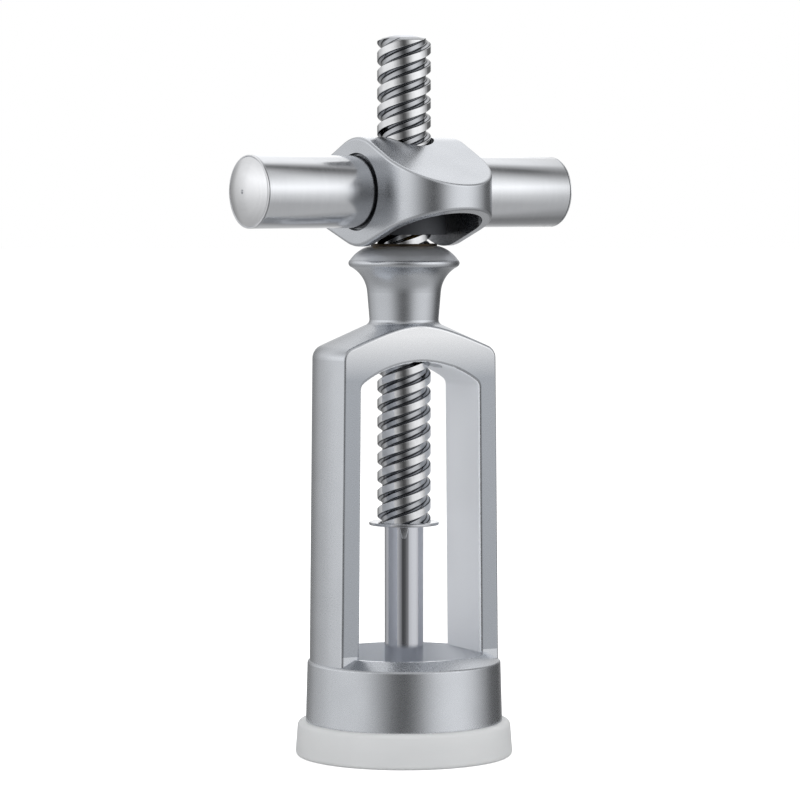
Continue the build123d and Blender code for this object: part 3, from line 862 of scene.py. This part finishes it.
class CORKSCREW_OT_worm(bpy.types.Operator):
    """Model the steel worm with its ground point and its head."""

    bl_idname = "corkscrew.worm"
    bl_label = "Worm"

    def execute(self, context):
        screw = context.scene.corkscrew_screw
        head_bottom = SCREW_LOW.z - screw.head_thickness
        rise = head_bottom + screw.head_thickness / 2 - screw.worm_start
        start = Vector((screw.coil_radius, 0, screw.worm_start))
        tangent = Vector((0, FULL_TURN * screw.coil_radius, screw.worm_pitch)).normalized()
        shape = bmesh.new()
        wire = bmesh.ops.create_circle(
            shape,
            segments=WIRE_SIDES,
            radius=screw.wire_radius,
            matrix=Matrix.Translation(start) @ tangent.to_track_quat("Z", "X").to_matrix().to_4x4(),
        )["verts"]
        tip_ring = list(shape.edges)
        end_ring = wind(shape, wire + tip_ring, rise, rise / screw.worm_pitch, WORM_STEPS_PER_TURN)
        bmesh.ops.contextual_create(shape, geom=end_ring)
        middle = start
        for length_share, size_share in TIP_RUNS:
            step = -tangent * screw.tip_length * length_share
            radius = size_share * screw.wire_radius
            tip_ring = grow_ring(
                shape, tip_ring, lambda place: middle + step + (place - middle).normalized() * radius
            )
            middle = middle + step
        bmesh.ops.contextual_create(shape, geom=tip_ring)
        head = bmesh.new()
        turn_outline(head, sleeve(0, screw.head_radius, head_bottom, SCREW_LOW.z), closed=False)
        soften(head, screw.head_round)
        head_mesh = bpy.data.meshes.new("worm_head")
        head.to_mesh(head_mesh)
        head.free()
        shape.from_mesh(head_mesh)
        bpy.data.meshes.remove(head_mesh)
        place_piece(shape, "steel_worm", "worm", drawn_steel("drawn_wire_steel"))
        return {"FINISHED"}


def place_on_handle(outline, closed, name, node, material, edge_round, chosen=None):
    """Turns an outline, rounds it and lays it along the handle, once on each side."""
    yaw = bpy.context.scene.corkscrew_handle.yaw
    for side, half_turn in (("left", math.pi), ("right", 0)):
        shape = bmesh.new()
        turn_outline(shape, outline, closed)
        soften(shape, edge_round, chosen)
        lay_down = (
            Matrix.Translation((0, 0, HANDLE_HEIGHT))
            @ Matrix.Rotation(yaw + half_turn, 4, "Z")
            @ Matrix.Rotation(math.pi / 2, 4, "Y")
        )
        bmesh.ops.transform(shape, matrix=lay_down, verts=shape.verts)
        place_piece(shape, side + name, side + node, material)


class CORKSCREW_OT_bars(bpy.types.Operator):
    """Model the two tubular handle bars."""

    bl_idname = "corkscrew.bars"
    bl_label = "Handle bars"

    def execute(self, context):
        handle = context.scene.corkscrew_handle
        bore = BAR_RADIUS - handle.bar_wall
        outline = sleeve(bore, BAR_RADIUS, handle.bar_start, handle.bar_end)
        material = satin_nickel_bar("satin_nickel_bar", "bar")
        place_on_handle(outline, True, "_handle_bar", "_grip", material, handle.edge_round)
        return {"FINISHED"}


class CORKSCREW_OT_caps(bpy.types.Operator):
    """Model the two domed end caps with their lips and centre marks."""

    bl_idname = "corkscrew.caps"
    bl_label = "End caps"

    def execute(self, context):
        handle = context.scene.corkscrew_handle
        rim_start = handle.bar_end + handle.seam_gap
        rim_end = handle.bar_end + handle.cap_rim
        spigot = BAR_RADIUS - handle.bar_wall - handle.spigot_gap
        spigot_start = handle.bar_end - handle.spigot_length
        dome_foot = BAR_RADIUS - handle.cap_lip - handle.cap_groove
        dome_radius = (dome_foot**2 + handle.dome_rise**2) / (2 * handle.dome_rise)
        crown = rim_end + handle.dome_rise

        def dome_at(radius):
            return crown - dome_radius + math.sqrt(dome_radius**2 - radius**2)

        mark = handle.mark_radius
        mark_bottom = dome_at(mark) - handle.mark_depth
        step_width = (dome_foot - mark) / CAP_DOME_STEPS
        radii = [mark + step_width * step for step in range(CAP_DOME_STEPS, -1, -1)]
        outline = (
            (0, spigot_start),
            (spigot, spigot_start),
            (spigot, rim_start),
            (BAR_RADIUS, rim_start),
            (BAR_RADIUS, rim_end),
            (BAR_RADIUS - handle.cap_lip, rim_end),
            (dome_foot + handle.cap_groove / 2, rim_end - handle.cap_groove),
            *((radius, dome_at(radius)) for radius in radii),
            (mark * handle.mark_taper, mark_bottom),
            (0, mark_bottom),
        )
        material = satin_nickel_bar("satin_nickel_cap", "cap")

        def on_rim(edge):
            return edge_radius(edge) > BAR_RADIUS - handle.edge_round

        rim_round = handle.edge_round / 2
        place_on_handle(outline, False, "_bar_cap", "_end_cap", material, rim_round, on_rim)
        return {"FINISHED"}


class CORKSCREW_OT_foot(bpy.types.Operator):
    """Model the moulded plastic foot."""

    bl_idname = "corkscrew.foot"
    bl_label = "Foot ring"

    def execute(self, context):
        foot = context.scene.corkscrew_foot
        shape = bmesh.new()
        outline = (
            (foot.mouth_radius, 0),
            (FOOT_RADIUS, 0),
            (foot.top_radius, foot.ring_height),
            (foot.spigot_radius, foot.ring_height),
            (foot.spigot_radius, FOOT_HIGH.z),
            (foot.throat_radius, FOOT_HIGH.z),
            (foot.throat_radius, foot.mouth_depth),
            (foot.mouth_radius, foot.mouth_depth),
        )
        turn_outline(shape, outline)
        outer = (foot.spigot_radius + FOOT_RADIUS) / 2
        soften(shape, foot.outer_round, lambda edge: edge_radius(edge) > outer, FOOT_ROUND_SEGMENTS)
        soften(shape, foot.inner_round, lambda edge: edge_radius(edge) < outer)
        place_piece(shape, "moulded_foot", "foot_ring", frosted_polypropylene())
        return {"FINISHED"}


class CORKSCREW_OT_studio(bpy.types.Operator):
    """Set the floor, the lights and the camera."""

    bl_idname = "corkscrew.studio"
    bl_label = "Studio"

    def execute(self, context):
        make_world()
        make_floor()
        make_lights()
        make_camera()
        return {"FINISHED"}


def seen_directly(tree):
    """1 for camera, mirror and glass rays, which see the pale background, and 0 for the rest."""
    rays = add_node(tree, "LightPath").outputs
    seen = rays["Is Camera Ray"]
    for kind in ("Is Glossy Ray", "Is Transmission Ray"):
        seen = add_node(tree, "Math", [seen, rays[kind]], operation="MAXIMUM")
    return seen


def panel_band(tree, position, panel_shares):
    """Brightness round the object at one level of the studio."""
    node = add_node(tree, "ValToRGB", [position])
    node.color_ramp.interpolation = "EASE"
    stops = [((azimuth + 180) / 360, (level, level, level, 1.0)) for azimuth, level in panel_shares]
    return fill_ramp(node, stops)


def make_world():
    """White background, with soft panels and flags for reflections and a level light for the rest."""
    settings = bpy.context.scene.corkscrew_studio
    world = bpy.data.worlds.new("studio_world")
    world.use_nodes = True
    tree = world.node_tree
    tree.nodes.clear()
    heading = add_node(tree, "TexCoord").outputs["Generated"]
    turned = {"Vector": heading, "Angle": -settings.azimuth}
    turned = add_node(tree, "VectorRotate", turned, rotation_type="Z_AXIS")
    axes = add_node(tree, "SeparateXYZ", [turned]).outputs
    depth = add_node(tree, "Math", [axes["Y"], -1.0], operation="MULTIPLY")
    azimuth = add_node(tree, "Math", [axes["X"], depth], operation="ARCTAN2")
    position = add_node(tree, "MapRange", [azimuth, -math.pi, math.pi])
    level = panel_band(tree, position, LEVEL_PANEL_SHARES)
    upper = panel_band(tree, position, UPPER_PANEL_SHARES)
    lower = panel_band(tree, position, LOWER_PANEL_SHARES)
    gain = add_node(tree, "MapRange", [axes["Z"], *BRIGHTENING, 1.0, LEVEL_GAIN])
    level = add_node(tree, "VectorMath", {0: level, "Scale": gain}, operation="SCALE")
    rising = add_node(tree, "MapRange", [axes["Z"], *RISING])
    falling = add_node(tree, "MapRange", [axes["Z"], *FALLING])
    panels = add_node(tree, "Mix", {"Factor": rising, "A": level, "B": upper}, data_type="RGBA")
    panels = add_node(tree, "Mix", {"Factor": falling, "A": panels, "B": lower}, data_type="RGBA")
    mirrored = add_node(tree, "LightPath").outputs["Is Glossy Ray"]
    light = add_node(tree, "Mix", {"Factor": mirrored, "A": WHITE, "B": panels}, data_type="RGBA")
    seen_strength = add_node(tree, "MapRange", [mirrored, 0.0, 1.0, 1.0, settings.panel_strength])
    strength = {"Factor": seen_directly(tree), "A": settings.diffuse_level, "B": seen_strength}
    strength = add_node(tree, "Mix", strength, data_type="FLOAT")
    background = add_node(tree, "Background", {"Color": light, "Strength": strength})
    add_node(tree, "OutputWorld", {"Surface": background})
    bpy.context.scene.world = world


def make_floor():
    """Pale floor that keeps the object's shadow and can be looked through from below."""
    settings = bpy.context.scene.corkscrew_studio
    mesh = bpy.data.meshes.new("floor")
    shape = bmesh.new()
    bmesh.ops.create_circle(shape, cap_ends=True, radius=FLOOR_RADIUS, segments=FLOOR_SIDES)
    shape.to_mesh(mesh)
    shape.free()
    floor = bpy.data.objects.new("floor", mesh)
    bpy.context.scene.collection.objects.link(floor)
    material, tree = new_material("pale_floor")
    matt = add_node(tree, "BsdfDiffuse", {"Color": settings.floor_colour})
    glow = add_node(tree, "Emission", {"Color": WHITE, "Strength": settings.floor_glow})
    lifted = add_node(tree, "AddShader", [matt, glow])
    top_side = add_node(tree, "MixShader", [seen_directly(tree), matt, lifted])
    underside = add_node(tree, "NewGeometry").outputs["Backfacing"]
    both_sides = add_node(tree, "MixShader", [underside, top_side, add_node(tree, "BsdfTransparent")])
    add_node(tree, "OutputMaterial", {"Surface": both_sides})
    mesh.materials.append(material)
    # The metal mirrors the studio's lower panels in place of the floor
    floor.visible_glossy = False


def make_lights():
    """Soft boxes: a key at the upper left, a fill at the right and an overhead panel."""
    middle = Vector((0, 0, HANDLE_HEIGHT / 2))
    for name, (place, width, height, watts) in SOFT_BOXES.items():
        lamp = bpy.data.lights.new(name, "AREA")
        lamp.shape = "RECTANGLE"
        lamp.size = width
        lamp.size_y = height
        lamp.energy = watts
        box = bpy.data.objects.new(name, lamp)
        box.location = place
        box.rotation_euler = (middle - Vector(place)).to_track_quat("-Z", "Y").to_euler()
        # The panels of the world already stand for these boxes in reflections
        box.visible_glossy = False
        bpy.context.scene.collection.objects.link(box)


def make_camera():
    """Camera at the photograph's angle, with its long lens."""
    settings = bpy.context.scene.corkscrew_studio
    data = bpy.data.cameras.new("photo_camera")
    data.lens = settings.lens
    data.sensor_width = SENSOR_WIDTH
    camera = bpy.data.objects.new("photo_camera", data)
    camera.location = (
        settings.distance * math.sin(settings.azimuth),
        -settings.distance * math.cos(settings.azimuth),
        settings.height,
    )
    camera.rotation_euler = (math.pi / 2 - settings.pitch, 0, settings.azimuth + settings.yaw_offset)
    bpy.context.scene.collection.objects.link(camera)
    bpy.context.scene.camera = camera


class CORKSCREW_PT_panel(bpy.types.Panel):
    """Sidebar panel that lists the builders."""

    bl_label = "Bell Corkscrew"
    bl_idname = "CORKSCREW_PT_panel"
    bl_space_type = "VIEW_3D"
    bl_region_type = "UI"
    bl_category = "Corkscrew"

    def draw(self, context):
        for builder in BUILDERS:
            self.layout.operator(builder.bl_idname)


BUILDERS = (
    CORKSCREW_OT_castings,
    CORKSCREW_OT_inner_parts,
    CORKSCREW_OT_spindle,
    CORKSCREW_OT_washer,
    CORKSCREW_OT_worm,
    CORKSCREW_OT_bars,
    CORKSCREW_OT_caps,
    CORKSCREW_OT_foot,
    CORKSCREW_OT_studio,
)
SETTINGS = {
    "corkscrew_screw": ScrewSettings,
    "corkscrew_handle": HandleSettings,
    "corkscrew_foot": FootSettings,
    "corkscrew_finish": FinishSettings,
    "corkscrew_studio": StudioSettings,
}
CLASSES = (*SETTINGS.values(), *BUILDERS, CORKSCREW_PT_panel)


def register():
    """Registers the classes and their settings."""
    for cls in CLASSES:
        bpy.utils.register_class(cls)
    for name, group in SETTINGS.items():
        setattr(bpy.types.Scene, name, bpy.props.PointerProperty(type=group))


def unregister():
    """Removes the settings and the classes."""
    for name in SETTINGS:
        delattr(bpy.types.Scene, name)
    for cls in reversed(CLASSES):
        bpy.utils.unregister_class(cls)


def main():
    """Builds everything in order."""
    register()
    bpy.context.scene.view_settings.view_transform = "Standard"
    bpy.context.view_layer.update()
    bpy.ops.corkscrew.castings()
    bpy.ops.corkscrew.inner_parts()
    bpy.ops.corkscrew.spindle()
    bpy.ops.corkscrew.washer()
    bpy.ops.corkscrew.worm()
    bpy.ops.corkscrew.bars()
    bpy.ops.corkscrew.caps()
    bpy.ops.corkscrew.foot()
    bpy.ops.corkscrew.studio()


if __name__ == "__main__":
    main()
